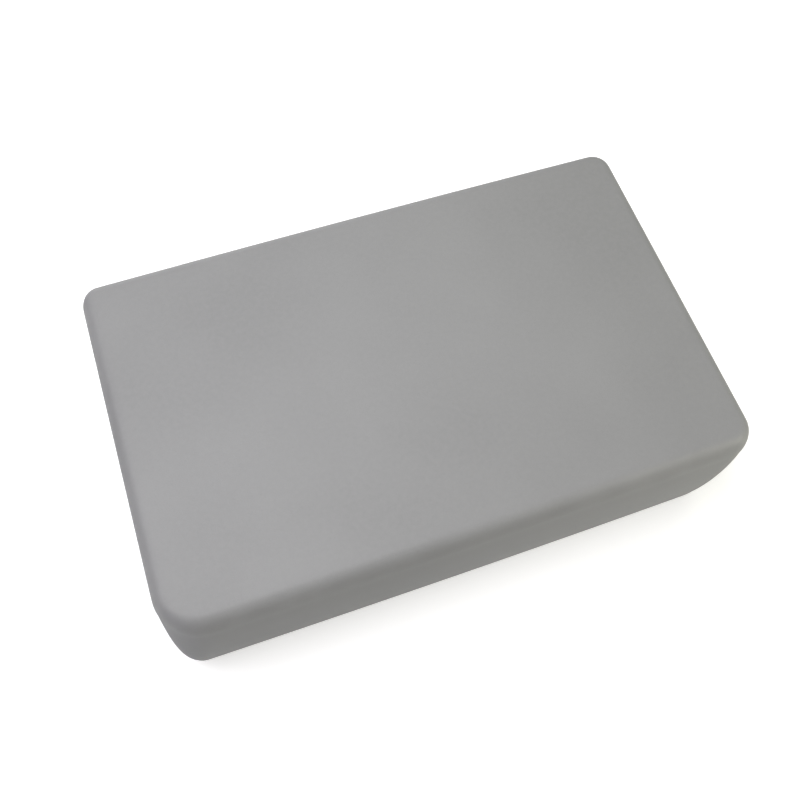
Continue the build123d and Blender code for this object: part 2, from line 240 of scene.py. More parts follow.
class Skin:
    """Points and faces of a surface built ring by ring from the top down."""

    def __init__(self, lattice):
        self.lattice = lattice
        self.points = []
        self.faces = []
        self.wear = []

    def ring(self, points, wear=0.0):
        first = len(self.points)
        self.points.extend(points.tolist())
        self.wear.extend(np.broadcast_to(wear, len(points)).tolist())
        return np.arange(first, len(self.points))

    def band(self, upper, lower, kept=None):
        """The faces between two rings; kept says which of them are made."""
        count = len(upper)
        for k in range(count):
            following = (k + 1) % count
            if kept is None or kept[k]:
                self.faces.append((upper[k], lower[k], lower[following], upper[following]))

    def bands(self, rings):
        for upper, lower in zip(rings, rings[1:]):
            self.band(upper, lower)

    def cap(self, ring, height, upwards=True):
        """Closes a ring with a grid; height gives the Z of points from their X and Y."""
        steps_x = self.lattice.steps_x
        steps_y = self.lattice.steps_y
        rim = np.array([self.points[i] for i in ring])[:, :2]
        back = rim[: steps_x + 1]
        left = rim[steps_x: steps_x + steps_y + 1]
        front = rim[steps_x + steps_y: 2 * steps_x + steps_y + 1][::-1]
        right = np.vstack([rim[2 * steps_x + steps_y:], rim[:1]])[::-1]
        u = np.linspace(0.0, 1.0, steps_x + 1)[:, None, None]
        v = np.linspace(0.0, 1.0, steps_y + 1)[None, :, None]
        flat = (1 - v) * back[:, None] + v * front[:, None] + (1 - u) * right[None] + u * left[None]
        flat -= (1 - u) * (1 - v) * back[0] + u * (1 - v) * back[-1]
        flat -= (1 - u) * v * front[0] + u * v * front[-1]
        ids = np.zeros((steps_x + 1, steps_y + 1), int)
        ids[:, 0] = ring[: steps_x + 1]
        ids[-1, :] = ring[steps_x: steps_x + steps_y + 1]
        ids[:, -1] = ring[steps_x + steps_y: 2 * steps_x + steps_y + 1][::-1]
        ids[0, :] = np.r_[ring[2 * steps_x + steps_y:], ring[:1]][::-1]
        inner = flat[1:-1, 1:-1].reshape(-1, 2)
        inner = np.column_stack([inner, height(inner[:, 0], inner[:, 1])])
        ids[1:-1, 1:-1] = self.ring(inner).reshape(steps_x - 1, steps_y - 1)
        for i in range(steps_x):
            for j in range(steps_y):
                face = (ids[i, j], ids[i + 1, j], ids[i + 1, j + 1], ids[i, j + 1])
                self.faces.append(face if upwards else face[::-1])

    def flip(self):
        self.faces = [face[::-1] for face in self.faces]

    def join(self, other):
        """Adds another skin's points and faces to this one."""
        shift = len(self.points)
        self.points.extend(other.points)
        self.wear.extend(other.wear)
        self.faces.extend(tuple(int(i) + shift for i in face) for face in other.faces)

    def plain_faces(self):
        return [tuple(map(int, face)) for face in self.faces]

    def piece(self, name, slot, node):
        piece = add_piece(name, self.points, self.plain_faces(), slot, node)
        attribute = piece.data.attributes.new("wear", "FLOAT", "POINT")
        attribute.data.foreach_set("value", np.array(self.wear, np.float32))
        return piece


def edge_lines(half, step, extra=()):
    """Evenly spaced places from -half to half, with some more at each end."""
    count = max(2, round(2 * half / step))
    inner = np.linspace(-half, half, count + 1)
    outer = np.array(extra)
    return np.r_[-outer[::-1], inner, outer]


# The cover's lattice has a line at each end of the zip's window, and at its end stitches.
STITCH_X = WINDOW_HALF_X + WINDOW_STITCH_OFFSET
COVER_LATTICE = Lattice(
    edge_lines(WINDOW_HALF_X, 4.0, (WINDOW_HALF_X + 0.7, STITCH_X, STITCH_X + 0.9, STITCH_X + 2.2)),
    edge_lines(STRAIGHT_HALF_Y, 6.0),
    20,
)
FILLING_LATTICE = Lattice(edge_lines(STRAIGHT_HALF_X, 8.0), edge_lines(STRAIGHT_HALF_Y, 8.5), 12)
BAG_LATTICE = Lattice(edge_lines(STRAIGHT_HALF_X, 16.0), edge_lines(STRAIGHT_HALF_Y, 17.0), 8)


def corner_radii(z, inset):
    """The upright corners' radii at a height, for a wall moved in by inset."""
    wall_low = EDGE_DROP
    wall_high = HEIGHT - EDGE_DROP
    share = smooth_step((z - wall_low) / (wall_high - wall_low))
    mixed = [(1 - share) * low + share * high for low, high in zip(BOTTOM_RADII, TOP_RADII)]
    return [max(radius - inset, LEAST_RADIUS) for radius in mixed]


def bow_sides(outline, bow):
    """Bows the long sides out, most at half length."""
    outline[:, 1] *= 1 + bow / (WIDTH / 2) * (1 - (2 * outline[:, 0] / LENGTH) ** 2)
    return outline


def wall_outline(lattice, inset, z):
    """The pillow's outline at a height, moved in by inset."""
    outline = lattice.outline(LENGTH / 2 - inset, WIDTH / 2 - inset, corner_radii(z, inset))
    return raised(bow_sides(outline, SIDE_BOW), z)


def profile(wall_rows, edge_steps):
    """Inset, height and wear down the wall, from the top face's rim to the bottom face's."""
    turns = np.linspace(0.0, math.pi / 2, edge_steps + 1)
    reach = EDGE_REACH + WALL_SWELL - EDGE_REACH * np.sin(turns)
    drop = EDGE_DROP * (1 - np.cos(turns))
    half_wall = HEIGHT / 2 - EDGE_DROP
    edge = [(inset, down, math.sin(2 * turn)) for inset, down, turn in zip(reach, drop, turns)]
    rows = [(inset, HEIGHT - down, wear) for inset, down, wear in edge]
    rows += [(WALL_SWELL * ((z - HEIGHT / 2) / half_wall) ** 2, z, 0.0) for z in wall_rows]
    return rows + edge[::-1]


def rectangle_distance(x, z, half_x, half_z, radius):
    """How far a point is outside a rounded rectangle round the zip's centre, or inside it if negative."""
    dx = np.abs(x) - (half_x - radius)
    dz = np.abs(z - ZIP_Z) - (half_z - radius)
    outside = np.hypot(np.maximum(dx, 0), np.maximum(dz, 0))
    return outside + np.minimum(np.maximum(dx, dz), 0) - radius


def press_valley(points, floor_y, half_x, half_z, fade):
    """Presses the zip's valley into the back wall."""
    back = points[:, 1] > WIDTH / 4
    distance = rectangle_distance(points[:, 0], points[:, 2], half_x, half_z, VALLEY_RADIUS)
    share = smooth_step(distance / fade)
    floor = np.minimum(points[:, 1], floor_y)
    pressed = floor + (points[:, 1] - floor) * share
    points[:, 1] = np.where(back, pressed, points[:, 1])
    return points


def slack(x, y):
    """The slow unevenness of a cover over foam, from a few crossing waves."""
    waves = (
        (1.00, 0.021, 0.013, 0.4),
        (0.80, -0.012, 0.031, 2.1),
        (0.55, 0.043, 0.024, 4.0),
        (0.40, 0.018, -0.058, 1.2),
        (0.25, 0.094, 0.071, 5.1),
    )
    total = sum(size * np.sin(a * x + b * y + phase) for size, a, b, phase in waves)
    return SLACK * total / sum(size for size, *_ in waves)


def top_height(x, y):
    """The top face: level at its rim, with a low crown and a little unevenness."""
    half_x = LENGTH / 2 - EDGE_REACH
    half_y = WIDTH / 2 - EDGE_REACH
    rise = np.clip(1 - (x / half_x) ** 2, 0, 1) * np.clip(1 - (y / half_y) ** 2, 0, 1)
    return HEIGHT + CROWN * rise + slack(x, y) * np.sqrt(rise)


def pucker(along, phase):
    """The small gathers that a tight row of stitches pulls into the cover."""
    length = 9.5
    drift = 1.3 * np.sin(along / 31.0 + phase)
    return np.sin(2 * math.pi * along / length + drift) * (0.65 + 0.35 * np.sin(along / 17.0 + 2 * phase))


def sew_window(points):
    """Rolls the window's edge in, sinks its row of stitches and gathers the cover round it."""
    x, z = points[:, 0], points[:, 2]
    back = points[:, 1] > WIDTH / 4
    distance = rectangle_distance(x, z, WINDOW_HALF_X, WINDOW_HALF_Z, WINDOW_RADIUS)
    rolled = 0.45 * np.exp(-np.maximum(distance, 0) / 0.35)
    groove = 0.28 * np.exp(-((distance - WINDOW_STITCH_OFFSET) / 0.55) ** 2)
    near = np.exp(-((distance - 4.5) / 3.5) ** 2)
    side = np.where(z > ZIP_Z, 0.0, 1.9)
    gathers = 0.2 * near * pucker(x, side) * (np.abs(x) < WINDOW_HALF_X)
    points[:, 1] = np.where(back, points[:, 1] - rolled - groove + gathers, points[:, 1])
    return points


# ---------------------------------------------------------------- the simulated swelling


def filled_block(lattice, inset):
    """A closed skin of the pillow's form, moved in by inset."""
    skin = Skin(lattice)
    scale = (HEIGHT - 2 * inset) / HEIGHT
    rows = profile(np.linspace(HEIGHT - EDGE_DROP, EDGE_DROP, 9)[1:-1], 5)
    rings = []
    for wall_inset, z, _ in rows:
        outline = wall_outline(lattice, wall_inset + inset, z)
        outline[:, 2] = inset + z * scale
        rings.append(skin.ring(outline))
    skin.bands(rings)
    skin.cap(rings[0], level(HEIGHT - inset))
    skin.cap(rings[-1], level(inset), upwards=False)
    return skin


SWELL_START = 0.6  # the simulated bag starts this much smaller than the pillow
SWELL_LIMIT = 1.2  # and no point of it moves further than this
SWELL_VOXEL = 7.0
SWELL_FRAMES = 20


def simulate_swelling():
    """Blows a bag of the pillow's form up under pressure. Returns its points and how each one moved."""
    skin = filled_block(BAG_LATTICE, SWELL_START)
    mesh = bpy.data.meshes.new("swelling_bag")
    mesh.from_pydata((np.array(skin.points) * MM).tolist(), [], skin.plain_faces())
    bag = add_object("swelling_bag", mesh)
    scene = bpy.context.scene
    bpy.context.view_layer.objects.active = bag
    bag.select_set(True)
    add_modifier(bag, "REMESH", mode="VOXEL", voxel_size=SWELL_VOXEL * MM)
    bpy.ops.object.modifier_apply(modifier="Remesh")
    start = np.array([vertex.co for vertex in bag.data.vertices])
    cloth = add_modifier(bag, "CLOTH")
    cloth.settings.use_pressure = True
    cloth.settings.uniform_pressure_force = 4.0
    cloth.settings.quality = 5
    cloth.settings.tension_stiffness = 15.0
    cloth.settings.bending_stiffness = 2.0
    cloth.settings.effector_weights.gravity = 0.0
    cloth.point_cache.frame_start = 1
    cloth.point_cache.frame_end = SWELL_FRAMES
    for step in range(1, SWELL_FRAMES + 1):
        scene.frame_set(step)
    blown = bag.evaluated_get(bpy.context.evaluated_depsgraph_get()).to_mesh()
    moved = np.array([vertex.co for vertex in blown.vertices]) - start
    bag.to_mesh_clear()
    scene.frame_set(1)
    bpy.data.objects.remove(bag)
    far = np.linalg.norm(moved, axis=1, keepdims=True)
    moved *= np.minimum(1.0, SWELL_LIMIT * MM / np.maximum(far, 1e-9))
    return start / MM, moved / MM


class Swelling:
    """The simulated movement, read at any point of the pillow's surface."""

    def __init__(self):
        self.tree = None
        places, self.moved = simulate_swelling()
        self.tree = KDTree(len(places))
        for index, place in enumerate(places):
            self.tree.insert(place, index)
        self.tree.balance()

    def at(self, points):
        """How each point moves: the weighted mean of the nearest simulated movements."""
        if self.tree is None:
            return np.zeros((len(points), 3))
        movement = []
        for point in points:
            near = self.tree.find_n(point, 8)
            weights = np.array([1.0 / (found[2] + 2.0) ** 2 for found in near])
            moves = self.moved[[found[1] for found in near]]
            movement.append((weights[:, None] * moves).sum(0) / weights.sum())
        return np.array(movement)


# ---------------------------------------------------------------- the cover


def cover_rows():
    """The heights of the mesh lines along the wall, close together where the zip is."""
    offsets = (2.0, WINDOW_HALF_Z, 6.0, 6.7, 7.4, 8.2, 9.8, 11.8, 14.0, 16.5, 19.0)
    near = [ZIP_Z + offset for offset in offsets] + [ZIP_Z - offset for offset in offsets]
    wall_high = HEIGHT - EDGE_DROP
    above = np.linspace(ZIP_Z + offsets[-1], wall_high, 8)[1:-1].tolist()
    return sorted(near + above, reverse=True)


def seam_line(lattice, offset, z, turned=0.0):
    """An outline beside the base seam: offset is outwards, and turned mixes in the wall's foot."""
    half_x = SEAM_HALF_X + offset
    half_y = SEAM_HALF_Y + offset
    foot = corner_radii(0.0, EDGE_REACH + WALL_SWELL)
    radii = [(1 - turned) * (SEAM_RADIUS + offset) + turned * radius for radius in foot]
    return raised(bow_sides(lattice.outline(half_x, half_y, radii), turned * SIDE_BOW), z)


def seam_relief(offset):
    """How high the underside stands beside the base seam: the curled edge and the stitches' groove."""
    distance = abs(offset)
    curled = 0.55 * math.exp(-((distance / 0.45) ** 2))
    groove = BASE_GROOVE * math.exp(-(((distance - BASE_STITCH_OFFSET) / 0.6) ** 2))
    return curled + groove


def seam_gathers(points, offset):
    """The gathers along the base seam's stitches, kept above the floor."""
    along = np.r_[0.0, np.cumsum(np.linalg.norm(np.diff(points[:, :2], axis=0), axis=1))]
    near = math.exp(-(((abs(offset) - BASE_STITCH_OFFSET) / 3.0) ** 2))
    points[:, 2] += 0.12 * near * (1 + pucker(along, 0.7 if offset > 0 else 2.3))
    return points


SEAM_OFFSETS = (0.0, 0.5, 1.3, 2.6, 3.5, 4.4, 5.8)
TOP_CAP_INSET = 5.0  # from the top's rim to where its grid starts


def cover_shell():
    """The skin: the top, the walls with the zip's valley, and the margin round the base panel."""
    skin = Skin(COVER_LATTICE)
    rings = []
    rim_reach = EDGE_REACH + WALL_SWELL
    top = wall_outline(COVER_LATTICE, rim_reach + TOP_CAP_INSET, HEIGHT)
    top[:, 2] = top_height(top[:, 0], top[:, 1])
    rings.append(skin.ring(top))
    for inset, z, wear in profile(cover_rows(), 8):
        outline = wall_outline(COVER_LATTICE, inset, z)
        if EDGE_DROP < z < HEIGHT / 2:
            outline = press_valley(outline, FLOOR_Y, VALLEY_HALF_X, VALLEY_HALF_Z, VALLEY_FADE)
            outline = sew_window(outline)
        square = np.abs(outline[:, 0]) / LENGTH + np.abs(outline[:, 1]) / WIDTH
        rings.append(skin.ring(outline, wear * (0.45 + 0.55 * smooth_step((square - 0.5) / 0.45))))
    foot_offset = LENGTH / 2 - rim_reach - SEAM_HALF_X
    for offset in reversed(SEAM_OFFSETS):
        line = seam_line(COVER_LATTICE, offset, seam_relief(offset), smooth_step(offset / foot_offset))
        rings.append(skin.ring(seam_gathers(line, offset)))
    points = np.array(skin.points)
    for upper, lower in zip(rings, rings[1:]):
        beside = np.abs(points[upper, 2] - ZIP_Z) <= WINDOW_HALF_Z + 0.01
        beside &= np.abs(points[lower, 2] - ZIP_Z) <= WINDOW_HALF_Z + 0.01
        across = np.maximum(np.abs(points[upper, 0]), np.abs(np.roll(points[upper, 0], -1)))
        window = beside & (points[upper, 1] > WIDTH / 4) & (across <= WINDOW_HALF_X + 0.01)
        skin.band(upper, lower, ~window)
    skin.cap(rings[0], top_height)
    points = np.array(skin.points)
    moved = Swelling().at(points)
    held = smooth_step((points[:, 2] - 2.0) / 12.0)
    x, z = points[:, 0], points[:, 2]
    zip_distance = rectangle_distance(x, z, VALLEY_HALF_X, VALLEY_HALF_Z, VALLEY_RADIUS)
    held = held * np.where(points[:, 1] > WIDTH / 4, smooth_step(zip_distance / 16.0), 1.0)
    # Only what is uneven in the movement counts: the usual swelling makes up for the smaller start.
    usual = np.median(np.linalg.norm(moved, axis=1))
    lengths = np.linalg.norm(moved, axis=1, keepdims=True)
    uneven = moved * (1 - usual / np.maximum(lengths, 1e-6))
    skin.points = (points + uneven * held[:, None]).tolist()
    piece = skin.piece("cover", "cover_vinyl", "cover_shell")
    thicken(piece, COVER_THICKNESS)
    subdivide(piece)
    return piece


def base_panel():
    """The underside's panel, with its edge curled up into the seam."""
    skin = Skin(COVER_LATTICE)
    rings = []
    for offset in SEAM_OFFSETS:
        line = seam_line(COVER_LATTICE, -offset, seam_relief(offset))
        rings.append(skin.ring(seam_gathers(line, -offset)))
    skin.bands(rings)
    skin.cap(rings[-1], lambda x, y: 0.05 + 0.25 * (1 + slack(x * 1.3, y * 1.3) / SLACK) / 2, upwards=False)
    piece = skin.piece("base", "base_vinyl", "base_panel")
    thicken(piece, COVER_THICKNESS)
    subdivide(piece)
    return piece


# ---------------------------------------------------------------- threads


def sleeve_faces(stations, count, outside_first):
    """The quads between stations of count points each, and the two ends."""
    faces = []
    for i in range(stations - 1):
        for k in range(count):
            following = (k + 1) % count
            row, below = i * count, (i + 1) * count
            if outside_first:
                faces.append((row + k, row + following, below + following, below + k))
            else:
                faces.append((row + k, below + k, below + following, row + following))
    start = tuple(range(count))
    end = tuple(range((stations - 1) * count, stations * count))
    return faces + ([start[::-1], end] if outside_first else [start, end[::-1]])


def tube(path, radii, sides, across):
    """A round tube along a path, closed at its ends. across is a direction that no run points along."""
    path = np.asarray(path, float)
    tangents = np.gradient(path, axis=0)
    tangents /= np.linalg.norm(tangents, axis=1, keepdims=True)
    side = np.cross(tangents, across)
    side /= np.linalg.norm(side, axis=1, keepdims=True)
    up = np.cross(side, tangents)
    turn = np.linspace(0, 2 * math.pi, sides, endpoint=False)
    circle = np.cos(turn)[None, :, None] * side[:, None] + np.sin(turn)[None, :, None] * up[:, None]
    points = path[:, None] + np.broadcast_to(radii, len(path))[:, None, None] * circle
    return points.reshape(-1, 3), sleeve_faces(len(path), sides, True)


def stitch_form(length, radius, rise, sink):
    """One stitch along X: a thread that comes up, lies along the cloth and goes down again. +Z is out."""
    share = np.linspace(-1, 1, 9)
    height = (rise + sink) * (1 - share**4) - sink
    path = np.stack([share * length / 2, np.zeros(9), height], 1)
    return tube(path, radius * (1 - 0.35 * share**6), 8, (0.0, 1.0, 0.0))


def place_copies(form, places, tangents, out):
    """Copies of a form, each turned so that its X runs along a tangent and its Z points out."""
    points, faces = form
    copies = []
    for place, tangent in zip(places, tangents):
        tangent = tangent / np.linalg.norm(tangent)
        side = np.cross(out, tangent)
        side /= np.linalg.norm(side)
        turned = points[:, :1] * tangent + points[:, 1:2] * side + points[:, 2:] * np.cross(tangent, side)
        copies.append((turned + place, faces))
    return merged(copies)


def row_of_stitches(line, pitch, form, out):
    """Stitches at an even pitch round a closed line."""
    closed = np.vstack([line, line[:1]])
    runs = np.r_[0.0, np.cumsum(np.linalg.norm(np.diff(closed, axis=0), axis=1))]
    count = round(runs[-1] / pitch)
    centres = (np.arange(count) + 0.5) * runs[-1] / count

    def at(distance):
        return np.stack([np.interp(distance % runs[-1], runs, closed[:, axis]) for axis in range(3)], 1)

    tangents = at(centres + pitch / 4) - at(centres - pitch / 4)
    return place_copies(form, at(centres), tangents, out)


def rectangle_line(half_x, half_z, radius, y):
    """A fine closed line round a rounded rectangle on the back wall."""
    points = []
    for sign_x, sign_z, start in ((1, 1, 0), (-1, 1, 90), (-1, -1, 180), (1, -1, 270)):
        for degrees in range(start, start + 91, 15):
            angle = math.radians(degrees)
            x = sign_x * (half_x - radius) + radius * math.cos(angle)
            z = ZIP_Z + sign_z * (half_z - radius) + radius * math.sin(angle)
            points.append((x, y, z))
    return np.array(points)


def window_stitches():
    half_x = WINDOW_HALF_X + WINDOW_STITCH_OFFSET
    half_z = WINDOW_HALF_Z + WINDOW_STITCH_OFFSET
    line = rectangle_line(half_x, half_z, 3.0, FLOOR_Y - 0.15)
    form = stitch_form(WINDOW_STITCH_PITCH * 0.88, THREAD_RADIUS, 0.2, 0.5)
    points, faces = row_of_stitches(line, WINDOW_STITCH_PITCH, form, (0.0, 1.0, 0.0))
    return add_piece("window_stitches", points, faces, "thread", "zip_window_thread")


def base_stitches():
    """The two rows of stitches beside the base seam, up in their grooves."""
    form = stitch_form(BASE_STITCH_PITCH * 0.86, 0.19, 0.0, 0.5)
    lines = [seam_line(COVER_LATTICE, side * BASE_STITCH_OFFSET, 0.3) for side in (-1, 1)]
    rows = [row_of_stitches(line, BASE_STITCH_PITCH, form, (0.0, 0.0, -1.0)) for line in lines]
    return add_piece("base_stitches", *merged(rows), "thread", "base_seam_threads")


def bar_tacks():
    """Two bars of close cross stitches over two long ones."""
    low, high = box_mm("zip_bar_tacks")
    half_z = (high[2] - low[2]) / 2
    half_width = high[0] - TACK_X
    forms = []

    def add(form, places, along):
        forms.append(place_copies(form, places, [np.array(along)] * len(places), (0.0, 1.0, 0.0)))

    cross = stitch_form(2 * half_width, 0.24, 0.1, 0.35)
    long_stitch = stitch_form(2 * half_z, 0.3, -0.2, 0.4)
    count = round(2 * half_z / TACK_PITCH)
    for side in (-1, 1):
        middle = side * TACK_X
        heights = ZIP_Z + np.linspace(-half_z + 0.3, half_z - 0.3, count)
        lean = 0.12 * np.sin(np.arange(count) * 2.3)
        places = np.stack([middle + lean, np.full(count, FLOOR_Y + 0.1), heights], 1)
        add(cross, places, (1.0, 0.0, 0.14))
        cores = np.array([(middle + shift, FLOOR_Y, ZIP_Z) for shift in (-0.45, 0.45)])
        add(long_stitch, cores, (0.0, 0.0, 1.0))
    return add_piece("bar_tacks", *merged(forms), "thread", "zip_bar_tacks")


# ---------------------------------------------------------------- the zip

COIL_PITCH = 1.4
COIL_WIRE = 0.32
COIL_SIDES = 7
COIL_STEPS = 16  # along each turn
HEAD_REACH = 0.5  # how far a coil's heads reach past the centre line


def zip_coil(side, name, node):
    """A nylon coil: flat turns whose heads reach between those of the other coil."""
    low, high = box_mm(node)
    outer = box_mm("zip_coil_upper")[1][2] - ZIP_Z
    half_width = (outer + HEAD_REACH) / 2 - COIL_WIRE
    centre = side * ((outer - HEAD_REACH) / 2)
    mid_y = (low[1] + high[1]) / 2
    half_height = (high[1] - low[1]) / 2 - COIL_WIRE
    turns = int((high[0] - low[0]) / COIL_PITCH) - 1
    angle = np.arange(turns * COIL_STEPS + 1) * 2 * math.pi / COIL_STEPS
    within = (angle / (2 * math.pi)) % 1.0
    # The turn stays upright round its head and moves on to the next one at its back.
    advance = np.floor(angle / (2 * math.pi) + 1e-9) + smooth_step((within - 0.25) / 0.5)
    start = low[0] + COIL_PITCH * (0.5 if side > 0 else 1.0)
    x = start + COIL_PITCH * advance
    z = ZIP_Z + centre - side * half_width * np.cos(angle)
    y = mid_y + half_height * np.sin(angle)
    points, faces = tube(np.stack([x, y, z], 1), COIL_WIRE, COIL_SIDES, (1.0, 0.0, 0.0))
    return add_piece(name, points, faces, "zip_nylon", node)


def extruded(section, xs, waver):
    """A closed section in Y and Z, carried along X; waver(x) gives each station's shift of every point."""
    points = []
    for x in xs:
        points.extend((x, y + dy, z + dz) for (y, z), (dy, dz) in zip(section, waver(x)))
    return points, sleeve_faces(len(xs), len(section), False)


def strip_section(line, thickness):
    """A closed section from the middle line of a strip: one side out, the other back."""
    line = np.asarray(line, float)
    along = np.gradient(line, axis=0)
    along /= np.linalg.norm(along, axis=1, keepdims=True)
    normal = np.stack([-along[:, 1], along[:, 0]], 1)
    half = np.broadcast_to(thickness, len(line))[:, None] / 2
    return np.vstack([line + normal * half, (line - normal * half)[::-1]])


def zip_tape(side, name, node):
    """A woven tape, ribbed across, with a thicker edge under the coil."""
    low, high = box_mm(node)
    mid_y = (low[1] + high[1]) / 2
    thickness = high[1] - low[1]
    inner, outer = sorted((abs(low[2] - ZIP_Z), abs(high[2] - ZIP_Z)))
    places = np.r_[inner, inner + 0.3, inner + 0.8, np.linspace(inner + 2.0, outer - 0.6, 8), outer]
    widths = np.full(len(places), thickness * 0.86)
    widths[:3] = thickness * np.array((0.7, 0.98, 0.96))
    widths[-1] = thickness * 0.5
    line = np.stack([np.full(len(places), mid_y), ZIP_Z + side * places], 1)
    section = strip_section(line, widths)
    faces_out = np.sign(section[:, 0] - mid_y)

    def waver(x):
        rib = 0.02 * (1 if round(x * 2) % 2 else -1)
        return np.stack([faces_out * rib, np.zeros(len(section))], 1)

    xs = np.arange(low[0], high[0] + 0.1, 0.5)
    points, faces = extruded(section, xs, waver)
    if side < 0:
        faces = [face[::-1] for face in faces]
    return add_piece(name, points, faces, "zip_tape", node)


def rounded_copy(node, body, name, width):
    """A cast or stamped metal piece: the CAD node's form with its sharp edges rounded over."""
    mesh = bmesh.new()
    mesh.from_mesh(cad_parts[node].data)
    bmesh.ops.remove_doubles(mesh, verts=mesh.verts, dist=0.01 * MM)
    bmesh.ops.dissolve_limit(mesh, angle_limit=math.radians(1), verts=mesh.verts, edges=mesh.edges)
    target = bpy.data.meshes.new(name)
    mesh.to_mesh(target)
    mesh.free()
    piece = declared(name, target, body, node)
    add_modifier(piece, "BEVEL", width=width * MM, segments=3, limit_method="ANGLE", harden_normals=True)
    return piece


# ---------------------------------------------------------------- behind the zip and inside


def guard_flap():
    """The flap of fabric that hangs behind the zip from the upper tape."""
    low, high = box_mm("zip_guard_flap")
    thickness = 0.5
    outer_y = high[1] - 0.3
    inner_y = low[1] + 0.3
    drop = (0.0, 3.0, 6.0, 7.5, 9.0, 12.0, 16.0, 20.0, 24.0, 28.0, high[2] - low[2])
    share = smooth_step((np.array(drop) - 6.0) / 3.0)
    line = np.stack([outer_y + (inner_y - outer_y) * share, high[2] - np.array(drop)], 1)
    section = strip_section(line, thickness)
    slackness = smooth_step((high[2] - 12.0 - section[:, 1]) / 18.0)

    def waver(x):
        shift = -0.35 * slackness * (1 + np.sin(x / 13.0 + 0.6 * np.sin(x / 41.0))) / 2
        return np.stack([shift, np.zeros(len(section))], 1)

    xs = np.linspace(low[0], high[0], 150)
    points, faces = extruded(section, xs, waver)
    piece = add_piece("guard_flap", points, faces, "flap_fabric", "zip_guard_flap")
    return piece, (float(high[0] - low[0]), float(np.linalg.norm(np.diff(line, axis=0), axis=1).sum()))


def care_label():
    """A blank satin label, folded double at its lower edge."""
    low, high = box_mm("care_label")
    leaf = 0.22
    front = high[1] - leaf / 2
    rear = low[1] + leaf / 2
    top, fold = high[2], low[2] + leaf / 2
    bend = [
        ((front + rear) / 2 + (front - rear) / 2 * math.cos(a), fold - (front - rear) / 2 * math.sin(a))
        for a in np.linspace(0, math.pi, 7)
    ]
    rows = np.linspace(top, fold + 0.4, 8)
    line = [(front, z) for z in rows] + bend + [(rear, z) for z in rows[::-1]]
    section = strip_section(line, leaf)

    def waver(x):
        curl = 0.03 * math.sin(x / 4.0)
        return np.tile((curl, 0.0), (len(section), 1))

    points, faces = extruded(section, np.linspace(low[0], high[0], 30), waver)
    piece = add_piece("care_label_blank", points, faces, "label_satin", "care_label")
    return piece, (float(high[0] - low[0]), float(2 * (top - low[2])))


def seam_tape():
    """The tape over the base seam, lifted a little over the seam's curled edges."""
    low, high = box_mm("base_seam_tape")
    thickness = high[2] - low[2]
    half = high[0] - SEAM_HALF_X
    offsets = np.r_[np.linspace(half, 1.6, 6), 0.8, 0.0, -0.8, np.linspace(-1.6, -half, 6)]
    skin = Skin(FILLING_LATTICE)
    rings = []

    def lift(offset):
        return 0.5 * math.exp(-((offset / 1.3) ** 2)) + 0.4 * math.exp(-(((abs(offset) - 3.5) / 0.9) ** 2))

    for bottom in (False, True):
        order = offsets[::-1] if bottom else offsets
        for offset in order:
            z = low[2] + lift(offset) + 0.02 + (0.0 if bottom else thickness)
            rings.append(skin.ring(seam_line(FILLING_LATTICE, offset, z)))
    skin.bands(rings + rings[:1])
    skin.flip()
    piece = skin.piece("seam_tape", "seam_tape", "base_seam_tape")
    length = 4 * (SEAM_HALF_X + SEAM_HALF_Y - 2 * SEAM_RADIUS) + 2 * math.pi * SEAM_RADIUS
    return piece, (float(2 * half), float(length))


def filling_skin(inset, floor_y):
    """A filling layer's closed surface, hollowed behind the zip."""
    skin = filled_block(FILLING_LATTICE, inset)
    points = np.array(skin.points)
    wall = (points[:, 2] > inset + 1) & (points[:, 2] < HEIGHT - inset - 1)
    pressed = press_valley(points.copy(), floor_y, HOLLOW_HALF_X, HOLLOW_HALF_Z, HOLLOW_FADE)
    skin.points = np.where(wall[:, None], pressed, points).tolist()
    return skin


def inner_liner():
    """The knitted sock, a closed skin with its own thickness."""
    skin = filling_skin(HEIGHT - box_mm("inner_liner")[1][2], LINER_BACK)
    piece = skin.piece("liner", "liner_knit", "inner_liner")
    thicken(piece, 0.5)
    return piece


def wadding_wrap():
    """The wadding: the space between the liner and the foam, with a soft, lumpy outside."""
    skin = filling_skin(HEIGHT - box_mm("wadding_wrap")[1][2], WADDING_BACK)
    points = np.array(skin.points)
    lumps = 0.12 * (np.sin(points[:, 0] / 9.0) * np.sin(points[:, 2] / 7.0 + points[:, 1] / 8.0) - 1)
    points[:, 1] += lumps * np.sign(points[:, 1])
    skin.points = points.tolist()
    room = foam_skin(FOAM_GAP, FOAM_BOTTOM - FOAM_GAP, FOAM_TOP + FOAM_GAP, True, True)
    room.flip()
    skin.join(room)
    return skin.piece("wadding", "wadding", "wadding_wrap")


